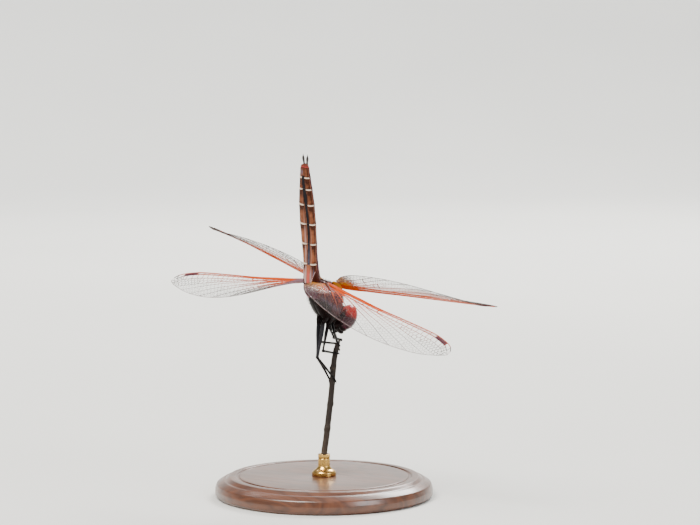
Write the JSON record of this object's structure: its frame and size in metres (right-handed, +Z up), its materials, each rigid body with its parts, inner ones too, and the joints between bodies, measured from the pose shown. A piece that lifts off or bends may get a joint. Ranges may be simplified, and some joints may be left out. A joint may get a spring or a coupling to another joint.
{
  "type": "dragonfly",
  "caption": "Life-size male violet dropwing dragonfly with raised abdomen and spread wings, gripping the tip of a twig set in a small turned stand.",
  "frame": {"origin": "centre of the stand base's underside, on the table", "axes": "+Z up; the insect's head points to -Y and down, its right side to -X, its tail up"},
  "size_m": [0.0584, 0.034, 0.054],
  "materials": {
    "thorax": "violet-grey pruinose cuticle with fine hair",
    "head": "dark red-brown cuticle, satin",
    "eye": "glossy faceted eye, red above and brown below",
    "abdomen": "salmon and brown plates with cream rings, satin",
    "cercus": "black, satin",
    "wing": "clear membrane with red and black veins",
    "leg": "black, satin",
    "twig": "dry weathered bark",
    "base": "turned dark wood, satin varnish",
    "brass": "polished brass"
  },
  "bodies": {
    "root": {"thorax": "thorax", "neck": "thorax", "head": "head", "eye_right": "eye", "eye_left": "eye", "antenna_right": "leg", "antenna_left": "leg", "abdomen_s1": "abdomen", "abdomen_s2": "abdomen", "abdomen_s3": "abdomen", "abdomen_s4": "abdomen", "abdomen_s5": "abdomen", "abdomen_s6": "abdomen", "abdomen_s7": "abdomen", "abdomen_s8": "abdomen", "abdomen_s9": "abdomen", "abdomen_s10": "abdomen", "cercus_right": "cercus", "cercus_left": "cercus", "forewing_right": "wing", "forewing_left": "wing", "hindwing_right": "wing", "hindwing_left": "wing", "leg_fore_right_thigh": "leg", "leg_fore_right_shank": "leg", "leg_fore_left_thigh": "leg", "leg_fore_left_shank": "leg", "leg_mid_right_thigh": "leg", "leg_mid_right_shank": "leg", "leg_mid_left_thigh": "leg", "leg_mid_left_shank": "leg", "leg_hind_right_thigh": "leg", "leg_hind_right_shank": "leg", "leg_hind_left_thigh": "leg", "leg_hind_left_shank": "leg", "twig": "twig", "stand_base": "base", "stand_rod": "brass"}
  },
  "joints": []
}
